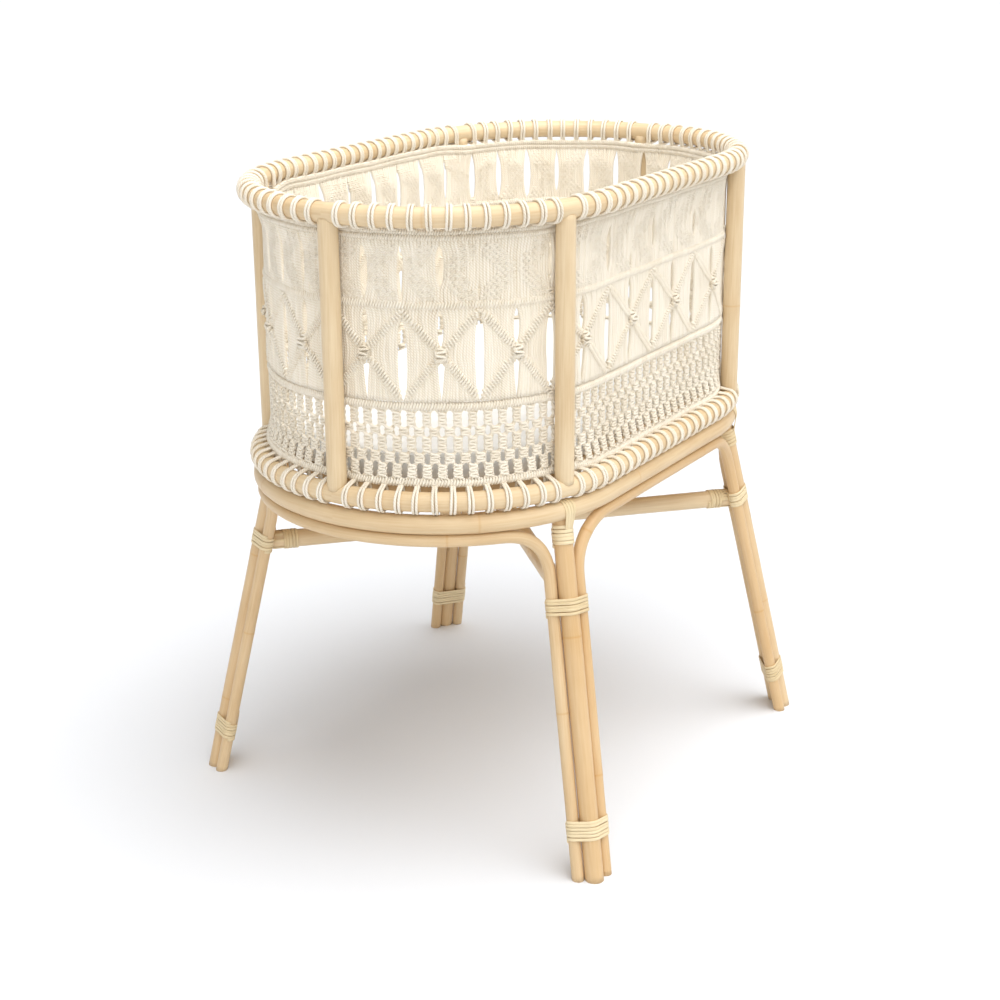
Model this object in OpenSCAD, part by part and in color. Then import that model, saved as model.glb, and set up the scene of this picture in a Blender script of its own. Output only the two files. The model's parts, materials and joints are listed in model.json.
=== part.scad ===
// Rattan cradle: an oval basket of bent poles, lined with a knotted cord net,
// which stands on a ring with four splayed legs. All lengths are in millimetres.
// The long axis of the basket lies along X, the floor is z = 0, and the origin
// is the centre of the footprint.

/* [Poles] */
// Diameter of the poles of the rings, posts, legs and brace
pole_d = 26; // [24:1:28]
// Diameter of the thinner poles that run beside the legs and arch under the ring
thin_d = 17; // [15:1:18]

/* [Basket] */
// Length of the basket over the poles of its rim
basket_length = 870; // [820:10:960]
// Width of the basket over the poles of its rim
basket_width = 538; // [500:10:600]
// Height of the top of the rim above the floor
rim_height = 898; // [860:2:940]
// Height between the middles of the rim and the lower ring
basket_depth = 363; // [330:1:380]
// Angle round each end, from the tip, at which the corner posts stand
post_angle = 70; // [64:1:76]
// Thickness of the cord where it is wound round a ring
cord_d = 4; // [3:0.5:4]

/* [Net] */
// Thickness of the knotted net
net_thickness = 6; // [4:1:8]
// How far the seams of the net sit beside the posts
net_shift = 12; // [8:1:16]

/* [Mattress] */
// Thickness of the mattress
mattress_height = 46; // [40:1:80]
// Gap all round between the mattress and the net
mattress_gap = 4; // [3:1:10]
// Thickness of the board under the mattress
board_height = 9; // [6:1:12]

/* [Stand] */
// Distance of each foot from the middle, along the length of the basket
foot_x = 316; // [300:2:340]
// Distance of each foot from the middle, across the basket
foot_y = 326; // [310:2:350]
// Height of the middle of the brace where the legs meet it
brace_height = 364; // [340:2:390]
// Radius of the bend where a thin pole turns from its leg into its arch
bend_r = 70; // [60:2:80]
// Width of the cane bindings round the legs
binding_w = 26; // [20:1:30]
// Height of the middle of the binding near each foot
foot_binding_z = 68; // [60:2:90]

/* [Hidden] */
$fn = 64;
// Clearance between neighbouring pieces that only touch
gap = 0.15;
// Gap under a body that rests on another one
rest_gap = 0.3;
eps = 0.01;
cane = 1.6;                            // thickness of a cane binding
pole_r = pole_d / 2;
thin_r = thin_d / 2;

end_r = basket_width / 2 - pole_r;     // radius of the ends, along the pole's middle
straight = (basket_length - basket_width) / 2;  // half length of each straight side
rim_z = rim_height - pole_r;
ring_z = rim_z - basket_depth;         // middle of the basket's lower ring
stand_z = ring_z - pole_d - cord_d - rest_gap;  // middle of the stand's ring

net_out = end_r - pole_r - 0.3;        // outer radius of the net at the ends
net_in = net_out - net_thickness;
net_bottom = ring_z + pole_r + 7;
net_top = rim_z - pole_r - 10;
net_turn = net_shift / end_r * 180 / PI;

slat_x = [-240, -120, 0, 120, 240];    // places of the slats along the basket
slat_z = ring_z - 2;
board_z = slat_z + thin_r + gap;
board_r = end_r - pole_r - cord_d - 1;
mattress_z = board_z + board_height + rest_gap;
mattress_r = net_in - mattress_gap;
dowel_d = 8;
dowel_half = 12;
screw_d = 5;
screw_head_d = 9;

// A leg is named by the signs of its x and y
LEGS = [[-1, -1], [1, -1], [1, 1], [-1, 1]];
leg_inset = 6;                         // how far inside the ring's middle a leg meets it
leg_head = [straight + (end_r - leg_inset) * cos(post_angle),
            (end_r - leg_inset) * sin(post_angle), stand_z - pole_r];
foot = [foot_x, foot_y, 0];
leg_dir = unit(foot - leg_head);       // down the leg
leg_out = unit(cross(leg_dir, cross(leg_dir, [0, 0, -1])));
leg_side = cross(leg_dir, leg_out);     // towards the tip of the end
tuck = 20;                             // how far the thin poles tuck in behind a leg
thin_reach = pole_r + thin_r + 2 * gap;
brace_k = (leg_head.z - brace_height) / leg_head.z;
brace_end = leg_head + (foot - leg_head) * brace_k;
brace_lap = 6;                         // each brace pole is this far off brace_height
strap_turn = 2.7;                      // half the angle a binding covers on the stand's ring
arch_z = stand_z - pole_r - thin_r - 2 * gap;
arch_from = post_angle - (bend_r + 24) / end_r * 180 / PI;  // where an end's arch runs level
bent_sides = 16;

function unit(v) = v / norm(v);
// A point on the middle line of a ring: a is the angle round the end from its tip
function end_point(a, z, r = end_r) = [straight + r * cos(a), r * sin(a), z];
function mirrored(p, s) = [p.x * s.x, p.y * s.y, p.z];
// The middle line of a thin pole beside leg [1, 1]; side 1 faces the end, -1 the long side
function thin_at(side, p) = p + thin_reach * (side * cos(tuck) * leg_side - sin(tuck) * leg_out);
function bezier(a, b, c, d, t) =
    pow(1 - t, 3) * a + 3 * pow(1 - t, 2) * t * b + 3 * (1 - t) * t * t * c + pow(t, 3) * d;
function reversed(list) = [for (i = [len(list) - 1 : -1 : 0]) list[i]];

// Puts children, built along +Z from the origin, on the line from a to b
module along(a, b) {
    z = unit(b - a);
    x = unit(cross(abs(z.z) > 0.9 ? [0, 1, 0] : [0, 0, 1], z));
    y = cross(z, x);
    multmatrix([[x.x, y.x, z.x, a.x], [x.y, y.y, z.y, a.y], [x.z, y.z, z.z, a.z], [0, 0, 0, 1]])
        children();
}

module rod(a, b, r) {
    along(a, b) cylinder(h = norm(b - a), r = r);
}

// A pole bent into the oval of the basket
module oval_pole(z, r) {
    for (s = [-1, 1]) {
        translate([-straight, s * end_r, z]) rotate([0, 90, 0]) cylinder(h = 2 * straight, r = r);
        translate([s * straight, 0, z]) rotate([0, 0, s > 0 ? -90 : 90])
            rotate_extrude(angle = 180) translate([end_r, 0]) circle(r);
    }
}

// A flat oval slab whose ends have radius r
module oval_slab(z, h, r) {
    translate([0, 0, z]) linear_extrude(h) {
        translate([-straight, -r]) square([2 * straight, 2 * r]);
        for (s = [-1, 1]) translate([s * straight, 0]) circle(r, $fn = 128);
    }
}

// A straight stretch of ring pole, used to cope another pole to the ring at angle a
module cope(a, z, s) {
    p = mirrored(end_point(a, z), s);
    t = [-sin(a) * s.x, cos(a) * s.y, 0];
    rod(p - 40 * t, p + 40 * t, pole_r + 0.4);
}

module post(a, s) {
    p = mirrored(end_point(a, 0), s);
    color("burlywood") difference() {
        translate([p.x, p.y, ring_z + 8]) cylinder(h = basket_depth - 16, r = pole_r);
        cope(a, rim_z, s);
        cope(a, ring_z, s);
        dowels_at(a, s, dowel_d / 2 + gap);
    }
}

module dowels_at(a, s, r) {
    p = mirrored(end_point(a, 0), s);
    for (z = [ring_z + pole_r, rim_z - pole_r])
        translate([p.x, p.y, z - dowel_half]) cylinder(h = 2 * dowel_half, r = r);
}

module all_dowels(r) {
    for (x = [-1, 1]) dowels_at(0, [x, 1], r);
    for (s = LEGS) dowels_at(post_angle, s, r);
}

module post_head_end() { post(0, [-1, 1]); }
module post_foot_end() { post(0, [1, 1]); }
module post_corner_1() { post(post_angle, LEGS[0]); }
module post_corner_2() { post(post_angle, LEGS[1]); }
module post_corner_3() { post(post_angle, LEGS[2]); }
module post_corner_4() { post(post_angle, LEGS[3]); }

module basket_ring(z) {
    color("burlywood") difference() {
        oval_pole(z, pole_r);
        all_dowels(dowel_d / 2 + gap);
    }
}

module rim_ring() { basket_ring(rim_z); }
module lower_ring() { basket_ring(ring_z); }
module post_dowels() { color("tan") all_dowels(dowel_d / 2); }

// The layer of cord turns round a ring, left open where posts and slats meet it
module cord_wraps(z) {
    color("antiquewhite") difference() {
        oval_pole(z, pole_r + cord_d);
        oval_pole(z, pole_r + gap);
        for (x = [-1, 1]) wrap_break(0, [x, 1], z);
        for (s = LEGS) wrap_break(post_angle, s, z);
        for (x = slat_x) translate([x, -end_r, slat_z]) rotate([-90, 0, 0])
            cylinder(h = 2 * end_r, r = thin_r + gap);
    }
}

module wrap_break(a, s, z) {
    p = mirrored(end_point(a, z), s);
    translate([p.x, p.y, z - 20]) cylinder(h = 40, r = pole_r + 5);
}

module rim_cord_wraps() { cord_wraps(rim_z); }
module lower_cord_wraps() { cord_wraps(ring_z); }

// A section of the net's wall, between a line at angle a from the centre of end s
// and a line at angle b from the centre of end t
module net_section(a, s, b, t) {
    from = [s * straight, 0];
    to = [t * straight, 0];
    height = net_top - net_bottom;
    color("antiquewhite") intersection() {
        difference() {
            oval_slab(net_bottom, height, net_out);
            oval_slab(net_bottom - 1, height + 2, net_in);
        }
        translate([0, 0, net_bottom - 2]) linear_extrude(height + 4) polygon([
            from,
            from + 600 * [cos(a), sin(a)],
            to + 600 * [cos(b), sin(b)],
            if (s != t) to
        ]);
    }
}

// The net is one piece; it is split into sections that meet beside the posts
module net_end_1() { net_section(180 - net_turn, -1, 180 + post_angle - net_turn, -1); }
module net_end_2() { net_section(180 - post_angle - net_turn, -1, 180 - net_turn, -1); }
module net_end_3() { net_section(-post_angle - net_turn, 1, -net_turn, 1); }
module net_end_4() { net_section(-net_turn, 1, post_angle - net_turn, 1); }
module net_side_1() { net_section(180 + post_angle - net_turn, -1, -post_angle - net_turn, 1); }
module net_side_2() { net_section(post_angle - net_turn, 1, 180 - post_angle - net_turn, -1); }

// A thin pole across the basket, its ends coped to the lower ring
module base_slat(i) {
    x = slat_x[i];
    dx = max(abs(x) - straight, 0);
    y = sqrt(end_r * end_r - dx * dx);
    color("burlywood") difference() {
        rod([x, -y, slat_z], [x, y, slat_z], thin_r);
        oval_pole(ring_z, pole_r + gap);
        translate([x - 20, y, slat_z - 20]) cube([40, 40, 40]);
        translate([x - 20, -y - 40, slat_z - 20]) cube([40, 40, 40]);
    }
}

module base_slat_1() { base_slat(0); }
module base_slat_2() { base_slat(1); }
module base_slat_3() { base_slat(2); }
module base_slat_4() { base_slat(3); }
module base_slat_5() { base_slat(4); }
module base_board() { color("tan") oval_slab(board_z, board_height, board_r); }
module mattress() { color("white") oval_slab(mattress_z, mattress_height, mattress_r); }

module leg_screw_at(s, r, head_r) {
    p = mirrored(end_point(post_angle, stand_z + pole_r), s);
    translate(p - [0, 0, 62]) cylinder(h = 62 - 3, r = r);
    translate(p - [0, 0, 6]) cylinder(h = 3 + eps, r1 = r, r2 = head_r);
}

module all_leg_screws(more) {
    for (s = LEGS) leg_screw_at(s, screw_d / 2 + more, screw_head_d / 2 + more);
}

module stand_ring() {
    color("burlywood") difference() {
        oval_pole(stand_z, pole_r);
        all_leg_screws(gap);
        for (s = LEGS) {
            p = mirrored(end_point(post_angle, stand_z + pole_r - 3), s);
            translate(p) cylinder(h = 10, r = screw_head_d / 2 + gap);
        }
    }
}

module leg_screws() { color("silver") all_leg_screws(0); }

// The middle pole of a leg, coped under the ring and cut flat on the floor
module leg(i) {
    s = LEGS[i];
    top = mirrored(leg_head - 8 * leg_dir, s);
    bottom = mirrored(foot + 20 * leg_dir, s);
    color("burlywood") difference() {
        rod(top, bottom, pole_r);
        cope(post_angle, stand_z, s);
        all_leg_screws(gap);
        translate([-600, -600, -60]) cube([1200, 1200, 60]);
    }
}

module leg_1() { leg(0); }
module leg_2() { leg(1); }
module leg_3() { leg(2); }
module leg_4() { leg(3); }

// The middle line of a thin pole beside leg [1, 1], from the floor up and round its bend
// to the point where it runs level. along is the level direction, towards the leg.
function thin_half(side, level, along) =
    let (top = thin_at(side, leg_head),
         low = top - leg_dir * (top.z / leg_dir.z),
         turn = top + leg_dir * ((arch_z - bend_r - top.z) / leg_dir.z),
         pull = 0.6 * bend_r)
    concat([low], [for (t = [0 : 0.1 : 1])
        bezier(turn, turn - pull * leg_dir, level + pull * along, level, t)]);

function arch_end_line() =
    let (a = arch_from, half = thin_half(1, end_point(a, arch_z), [-sin(a), cos(a), 0]))
    concat(half, [for (k = [7 : -1 : -7]) end_point(a * k / 8, arch_z)],
           reversed([for (p = half) mirrored(p, [1, -1])]));

function arch_side_line() =
    let (half = thin_half(-1, [straight, end_r, arch_z], [1, 0, 0]))
    concat(half, reversed([for (p = half) mirrored(p, [-1, 1])]));

// A round pole along a line of points that starts and ends on the floor
module bent_pole(line, r, across) {
    n = len(line);
    rings = [for (i = [0 : n - 1])
        let (d = unit(line[min(i + 1, n - 1)] - line[max(i - 1, 0)]),
             u = unit(cross(d, across)), v = cross(d, u))
        for (k = [0 : bent_sides - 1])
            let (p = line[i] + r * (cos(360 * k / bent_sides) * u + sin(360 * k / bent_sides) * v))
            i == 0 || i == n - 1 ? p - d * (p.z / d.z) : p];
    skin = [for (i = [0 : n - 2], k = [0 : bent_sides - 1])
        let (a = i * bent_sides + k, b = i * bent_sides + (k + 1) % bent_sides)
        [a, a + bent_sides, b + bent_sides, b]];
    caps = [[for (k = [0 : bent_sides - 1]) k],
            [for (k = [bent_sides - 1 : -1 : 0]) (n - 1) * bent_sides + k]];
    polyhedron(rings, concat(skin, caps), convexity = 8);
}

module arch_end(s) {
    color("burlywood") mirror([s > 0 ? 0 : 1, 0, 0]) bent_pole(arch_end_line(), thin_r, [1, 0, 0]);
}

module arch_side(s) {
    color("burlywood") mirror([0, s > 0 ? 0 : 1, 0]) bent_pole(arch_side_line(), thin_r, [0, 1, 0]);
}

module arch_end_1() { arch_end(-1); }
module arch_end_2() { arch_end(1); }
module arch_side_1() { arch_side(-1); }
module arch_side_2() { arch_side(1); }

// The three poles of a leg over heights z1 to z2, each grown by more
module leg_poles(z1, z2, more, thin_more) {
    a = leg_head + leg_dir * ((z1 - leg_head.z) / leg_dir.z);
    b = leg_head + leg_dir * ((z2 - leg_head.z) / leg_dir.z);
    rod(a, b, pole_r + more);
    for (side = [-1, 1]) rod(thin_at(side, a), thin_at(side, b), thin_r + thin_more);
}

module on_leg(i) {
    mirror([LEGS[i].x > 0 ? 0 : 1, 0, 0]) mirror([0, LEGS[i].y > 0 ? 0 : 1, 0]) children();
}

// A brace pole between two opposite legs, kept a little short of their middles. The upper
// one, side 1, joins legs 1 and 3 and the lower one, side -1, joins legs 2 and 4.
module brace_pole(side, short, r) {
    a = [brace_end.x, side * brace_end.y, brace_height + side * brace_lap];
    d = short * unit([a.x, a.y, 0]);
    rod([-a.x, -a.y, a.z] + d, a - d, r);
}

module brace_lower() {
    color("burlywood") difference() {
        brace_pole(-1, 10, pole_r);
        for (i = [1, 3]) on_leg(i) leg_poles(320, 410, gap, 2 * gap);
    }
}

module brace_upper() {
    color("burlywood") difference() {
        brace_pole(1, 10, pole_r);
        for (i = [0, 2]) on_leg(i) leg_poles(320, 410, gap, 2 * gap);
        brace_pole(-1, 10, pole_r + gap);
    }
}

// Cane wound round the brace poles where they cross
module brace_crossing_binding() {
    color("khaki") difference() {
        for (side = [-1, 1]) crossing_sleeve(side);
        for (side = [-1, 1]) brace_pole(side, 10, pole_r + gap);
    }
}

module crossing_sleeve(side) {
    d = 32 * unit([brace_end.x, side * brace_end.y, 0]);
    m = [0, 0, brace_height + side * brace_lap];
    rod(m - d, m + d, pole_r + cane);
}

// Cane wound round a leg's top pole and over the ring of the stand
module leg_top_binding(i) {
    a = leg_head + leg_dir * 1.5;
    color("khaki") on_leg(i) difference() {
        union() {
            rod(a, a + leg_dir * 36, pole_r + cane);
            translate([straight, 0, stand_z]) rotate([0, 0, post_angle - strap_turn])
                rotate_extrude(angle = 2 * strap_turn) translate([end_r, 0]) circle(pole_r + cane);
        }
        rod(leg_head - 12 * leg_dir, leg_head + 60 * leg_dir, pole_r + gap);
        translate([straight, 0, stand_z]) rotate([0, 0, post_angle - 12])
            rotate_extrude(angle = 24) translate([end_r, 0]) circle(pole_r + gap);
    }
}

module leg_top_binding_1() { leg_top_binding(0); }
module leg_top_binding_2() { leg_top_binding(1); }
module leg_top_binding_3() { leg_top_binding(2); }
module leg_top_binding_4() { leg_top_binding(3); }

function brace_z(i) = brace_height + (i % 2 == 0 ? 1 : -1) * brace_lap;

// Cane wound round all three poles of a leg
module leg_binding(z, w) {
    difference() {
        hull() leg_poles(z - w / 2, z + w / 2, cane, cane, $fn = 32);
        leg_poles(z - w, z + w, gap, gap);
    }
}

module leg_mid_binding(i) {
    a = [brace_end.x, brace_end.y, brace_z(i)];
    color("khaki") on_leg(i) difference() {
        leg_binding(brace_height, binding_w);
        rod([0, 0, a.z], a, pole_r + gap);
    }
}

module leg_mid_binding_1() { leg_mid_binding(0); }
module leg_mid_binding_2() { leg_mid_binding(1); }
module leg_mid_binding_3() { leg_mid_binding(2); }
module leg_mid_binding_4() { leg_mid_binding(3); }

module leg_foot_binding(i) {
    color("khaki") on_leg(i) leg_binding(foot_binding_z, binding_w + 6);
}

module leg_foot_binding_1() { leg_foot_binding(0); }
module leg_foot_binding_2() { leg_foot_binding(1); }
module leg_foot_binding_3() { leg_foot_binding(2); }
module leg_foot_binding_4() { leg_foot_binding(3); }

// Cane wound round the end of a brace pole, a little way in from its leg
module brace_binding(i) {
    a = [brace_end.x, brace_end.y, brace_z(i)];
    d = unit([-a.x, -a.y, 0]);
    color("khaki") on_leg(i) difference() {
        rod(a + 28 * d, a + 53 * d, pole_r + cane);
        rod(a + 20 * d, a + 60 * d, pole_r + gap);
    }
}

module brace_binding_1() { brace_binding(0); }
module brace_binding_2() { brace_binding(1); }
module brace_binding_3() { brace_binding(2); }
module brace_binding_4() { brace_binding(3); }

rim_ring();
lower_ring();
post_head_end();
post_foot_end();
post_corner_1();
post_corner_2();
post_corner_3();
post_corner_4();
post_dowels();
rim_cord_wraps();
lower_cord_wraps();
net_end_1();
net_end_2();
net_end_3();
net_end_4();
net_side_1();
net_side_2();
base_slat_1();
base_slat_2();
base_slat_3();
base_slat_4();
base_slat_5();
base_board();
mattress();
stand_ring();
leg_1();
leg_2();
leg_3();
leg_4();
leg_screws();
arch_end_1();
arch_end_2();
arch_side_1();
arch_side_2();
brace_lower();
brace_upper();
brace_crossing_binding();
leg_top_binding_1();
leg_top_binding_2();
leg_top_binding_3();
leg_top_binding_4();
leg_mid_binding_1();
leg_mid_binding_2();
leg_mid_binding_3();
leg_mid_binding_4();
leg_foot_binding_1();
leg_foot_binding_2();
leg_foot_binding_3();
leg_foot_binding_4();
brace_binding_1();
brace_binding_2();
brace_binding_3();
brace_binding_4();
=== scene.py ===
import bmesh
import bpy
import json
import math
import numpy as np
from mathutils import Matrix, Vector


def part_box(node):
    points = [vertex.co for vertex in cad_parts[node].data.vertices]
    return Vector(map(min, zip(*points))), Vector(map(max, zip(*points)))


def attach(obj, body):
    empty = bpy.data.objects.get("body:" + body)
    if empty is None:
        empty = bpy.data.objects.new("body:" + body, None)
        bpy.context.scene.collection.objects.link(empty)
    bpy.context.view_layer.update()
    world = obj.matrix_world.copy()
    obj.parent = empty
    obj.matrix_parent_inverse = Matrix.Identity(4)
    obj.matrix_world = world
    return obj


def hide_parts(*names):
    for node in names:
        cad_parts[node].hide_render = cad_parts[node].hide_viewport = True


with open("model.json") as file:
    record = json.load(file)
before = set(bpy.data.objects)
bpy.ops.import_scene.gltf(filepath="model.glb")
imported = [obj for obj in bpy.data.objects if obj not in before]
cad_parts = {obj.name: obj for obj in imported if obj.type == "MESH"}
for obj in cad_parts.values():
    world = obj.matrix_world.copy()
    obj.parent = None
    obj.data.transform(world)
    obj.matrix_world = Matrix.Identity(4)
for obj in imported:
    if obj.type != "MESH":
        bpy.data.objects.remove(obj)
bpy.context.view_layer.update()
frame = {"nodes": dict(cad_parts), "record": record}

MM = 0.001


# ---------------------------------------------------------------- sizes, from the frame
def box_mm(node):
    lo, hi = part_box(node)
    return np.array(lo) * 1000.0, np.array(hi) * 1000.0


def half_size(node, axis):
    lo, hi = box_mm(node)
    return (hi[axis] - lo[axis]) / 2


def middle_z(node):
    lo, hi = box_mm(node)
    return (lo[2] + hi[2]) / 2


POLE_R = half_size("rim_ring", 2)
THIN_R = half_size("base_slat_3", 2)
END_R = half_size("rim_ring", 1) - POLE_R             # the rings' round ends
STRAIGHT = half_size("rim_ring", 0) - POLE_R - END_R  # half of the rings' straight sides
RIM_Z, RING_Z, STAND_Z = middle_z("rim_ring"), middle_z("lower_ring"), middle_z("stand_ring")
QUARTER = END_R * math.pi / 2
AROUND = 4 * QUARTER + 4 * STRAIGHT
POST_ANGLE = math.radians(70)
NET_D = -17.3                        # the net's middle, measured out from the rings' middle
NET_SHIFT = 12.0                     # the net's pattern starts this far before a post


def place(a, z, d):
    """Points from a (mm round the ring from the head end's tip), height z, and d outside its middle."""
    a = np.mod(np.asarray(a, float), AROUND)
    z, d = np.broadcast_arrays(np.asarray(z, float), np.asarray(d, float))
    s1, s2 = QUARTER, QUARTER + 2 * STRAIGHT
    s3, s4 = 3 * QUARTER + 2 * STRAIGHT, 3 * QUARTER + 4 * STRAIGHT
    ang = np.where(a < s1, math.pi + a / END_R,
          np.where(a < s2, 1.5 * math.pi,
          np.where(a < s3, 1.5 * math.pi + (a - s2) / END_R,
          np.where(a < s4, 0.5 * math.pi, 0.5 * math.pi + (a - s4) / END_R))))
    cx = np.where(a < s1, -STRAIGHT,
         np.where(a < s2, -STRAIGHT + (a - s1),
         np.where(a < s3, STRAIGHT,
         np.where(a < s4, STRAIGHT - (a - s3), -STRAIGHT))))
    r = END_R + d
    return np.stack(np.broadcast_arrays(cx + r * np.cos(ang), r * np.sin(ang), z), axis=-1)


# where the posts stand, round the ring
POSTS = [0.0, END_R * POST_ANGLE, AROUND / 2 - END_R * POST_ANGLE, AROUND / 2]
POSTS += [AROUND - POSTS[2], AROUND - POSTS[1]]


def chance(*key):
    """A repeatable number from 0 to 1 for a place in the pattern."""
    weights = (12.9898, 78.233, 37.719, 4.581)
    v = math.sin(sum((k + 1.37) * w for k, w in zip(key, weights))) * 43758.5453
    return v - math.floor(v)


# ---------------------------------------------------------------- mesh building
class Skin:
    """Collects many tubes into one mesh, with a UV map of length along and turn around."""

    def __init__(self):
        self.verts, self.quads, self.uvs, self.tips, self.tones, self.count = [], [], [], [], [], 0

    def tubes(self, paths, radius, sides=6, closed=False, flat=None, lobes=0.0, twist=0.0, tone=None,
              face=None):
        """paths: (M, N, 3) points in mm. flat: half thickness over half width of a strip's section,
        face: (M, N, 3) directions its broad side faces."""
        p = np.asarray(paths, float)
        if p.ndim == 2:
            p = p[None]
        m, n, _ = p.shape
        if closed:
            t = np.roll(p, -1, 1) - np.roll(p, 1, 1)
        else:
            t = np.empty_like(p)
            t[:, 1:-1] = p[:, 2:] - p[:, :-2]
            t[:, 0] = p[:, 1] - p[:, 0]
            t[:, -1] = p[:, -1] - p[:, -2]
        t /= np.maximum(np.linalg.norm(t, axis=2, keepdims=True), 1e-9)
        e = np.empty_like(p)
        if face is not None:
            f = np.asarray(face, float)
            e = f - (f * t).sum(2, keepdims=True) * t
        else:
            upright = np.abs(t[:, 0, 2:3]) > 0.7
            v = np.where(upright, np.array([[1.0, 0.35, 0.0]]), np.array([[0.0, 0.0, 1.0]]))
            for i in range(n):
                v = v - (v * t[:, i]).sum(1, keepdims=True) * t[:, i]
                v = v / np.maximum(np.linalg.norm(v, axis=1, keepdims=True), 1e-9)
                e[:, i] = v
        e /= np.maximum(np.linalg.norm(e, axis=2, keepdims=True), 1e-9)
        g = np.cross(t, e)
        seg = np.linalg.norm(np.diff(p, axis=1), axis=2)
        s = np.concatenate([np.zeros((m, 1)), np.cumsum(seg, axis=1)], axis=1)
        th = np.arange(sides) * 2 * math.pi / sides
        r = np.broadcast_to(np.asarray(radius, float), (m, n))[:, :, None]
        rr = np.broadcast_to(r, (m, n, sides))
        if lobes:
            rr = rr * (1 + lobes * np.cos(3 * (th[None, None] - twist * s[:, :, None])))
        c, sn = np.cos(th), np.sin(th)
        if flat is not None:
            # a rounded oblong section: broad across g, thin along e
            c = np.sign(c) * np.abs(c) ** 0.8 * flat
            sn = np.sign(sn) * np.abs(sn) ** 0.75
        v = p[:, :, None] + (rr * c)[..., None] * e[:, :, None] + (rr * sn)[..., None] * g[:, :, None]
        idx = self.count + np.arange(m * n * sides).reshape(m, n, sides)
        rows = n if closed else n - 1
        i0 = idx[:, np.arange(rows)]
        i1 = idx[:, (np.arange(rows) + 1) % n]
        q = np.stack([i0, np.roll(i0, -1, 2), np.roll(i1, -1, 2), i1], axis=-1).reshape(-1, 4)
        su = np.concatenate([s, s[:, -1:] + 1.0], axis=1)
        u0, u1 = su[:, :rows, None], su[:, 1:rows + 1, None]
        k0 = np.arange(sides)[None, None] / sides
        k1 = (np.arange(sides)[None, None] + 1) / sides
        corners = ((u0, k0), (u0, k1), (u1, k1), (u1, k0))
        uv = np.stack([np.stack(np.broadcast_arrays(u, k), -1) for u, k in corners],
                      axis=3).reshape(-1, 2)
        self.verts.append(v.reshape(-1, 3))
        self.quads.append(q)
        self.uvs.append(uv)
        if tone is None:
            tone = np.array([chance(self.count + i, m) for i in range(m)])
        tone = np.asarray(tone, float)
        if tone.ndim < 2:
            tone = np.broadcast_to(tone.reshape(-1, 1), (m, n))
        self.tones.append(np.repeat(tone[:, :, None], sides, 2).reshape(-1))
        if not closed:
            for i in range(m):
                self.tips.append(idx[i, 0][::-1])
                self.tips.append(idx[i, -1])
        self.count += m * n * sides

    def build(self, name, material):
        verts = np.concatenate(self.verts) * MM
        quads = np.concatenate(self.quads)
        uv = np.concatenate(self.uvs)
        me = bpy.data.meshes.new(name)
        nq, nt = len(quads), len(self.tips)
        tip_len = np.array([len(t) for t in self.tips], int)
        loops = nq * 4 + int(tip_len.sum())
        me.vertices.add(len(verts))
        me.vertices.foreach_set("co", verts.ravel())
        me.loops.add(loops)
        tip_idx = np.concatenate(self.tips) if nt else np.zeros(0, int)
        corners = np.concatenate([quads.ravel(), tip_idx])
        me.loops.foreach_set("vertex_index", corners.astype(np.int32))
        me.polygons.add(nq + nt)
        tip_starts = nq * 4 + np.concatenate([[0], np.cumsum(tip_len)[:-1]]) if nt else []
        starts = np.concatenate([np.arange(nq) * 4, tip_starts])
        me.polygons.foreach_set("loop_start", starts.astype(np.int32))
        me.update(calc_edges=True)
        smooth = np.concatenate([np.ones(nq, bool), np.zeros(nt, bool)])
        me.polygons.foreach_set("use_smooth", smooth)
        layer = me.uv_layers.new(name="strand")
        tip_uv = np.zeros((int(tip_len.sum()), 2))
        layer.data.foreach_set("uv", np.concatenate([uv, tip_uv]).ravel())
        tone = me.attributes.new("tone", "FLOAT", "POINT")
        tone.data.foreach_set("value", np.concatenate(self.tones).astype(np.float32))
        me.validate()
        ob = bpy.data.objects.new(name, me)
        bpy.context.scene.collection.objects.link(ob)
        me.materials.append(material)
        return ob


def give(ob, body, slot, *nodes):
    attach(ob, body)
    if nodes:
        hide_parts(*nodes)
    return ob


def run_length(points):
    """How far along a line each of its points is."""
    return np.concatenate([[0], np.cumsum(np.linalg.norm(np.diff(points, axis=0), axis=1))])


def resample(points, s, at):
    """The points at distances at along a line, whose own points are at distances s."""
    return np.stack([np.interp(at, s, points[:, i]) for i in range(points.shape[1])], axis=1)


def even(points, step, closed=False):
    """The same line in even steps."""
    points = np.asarray(points, float)
    if closed:
        points = np.concatenate([points, points[:1]])
    s = run_length(points)
    at = np.linspace(0, s[-1], max(int(round(s[-1] / step)), 3) + 1)
    return resample(points, s, at[:-1] if closed else at)


def spline(points, step):
    """An evenly stepped smooth curve through points."""
    pts = np.asarray(points, float)
    ext = np.concatenate([[2 * pts[0] - pts[1]], pts, [2 * pts[-1] - pts[-2]]])
    out = []
    for i in range(len(pts) - 1):
        a, b, c, d = ext[i:i + 4]
        for t in np.linspace(0, 1, 12, endpoint=False):
            out.append(0.5 * ((2 * b) + (c - a) * t + (2 * a - 5 * b + 4 * c - d) * t * t
                              + (3 * b - a - 3 * c + d) * t ** 3))
    return even(out + [pts[-1]], step)


# ---------------------------------------------------------------- materials
def new_material(name):
    m = bpy.data.materials.new(name)
    m.use_nodes = True
    nt = m.node_tree
    nt.nodes.clear()
    out = nt.nodes.new("ShaderNodeOutputMaterial")
    bsdf = nt.nodes.new("ShaderNodeBsdfPrincipled")
    nt.links.new(bsdf.outputs["BSDF"], out.inputs["Surface"])
    return m, nt, bsdf


def feed(nt, target, inputs):
    """Sets a node's inputs, each to a value or to another node's output."""
    for key, value in inputs.items():
        if isinstance(value, bpy.types.NodeSocket):
            nt.links.new(value, target.inputs[key])
        else:
            target.inputs[key].default_value = value


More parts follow.
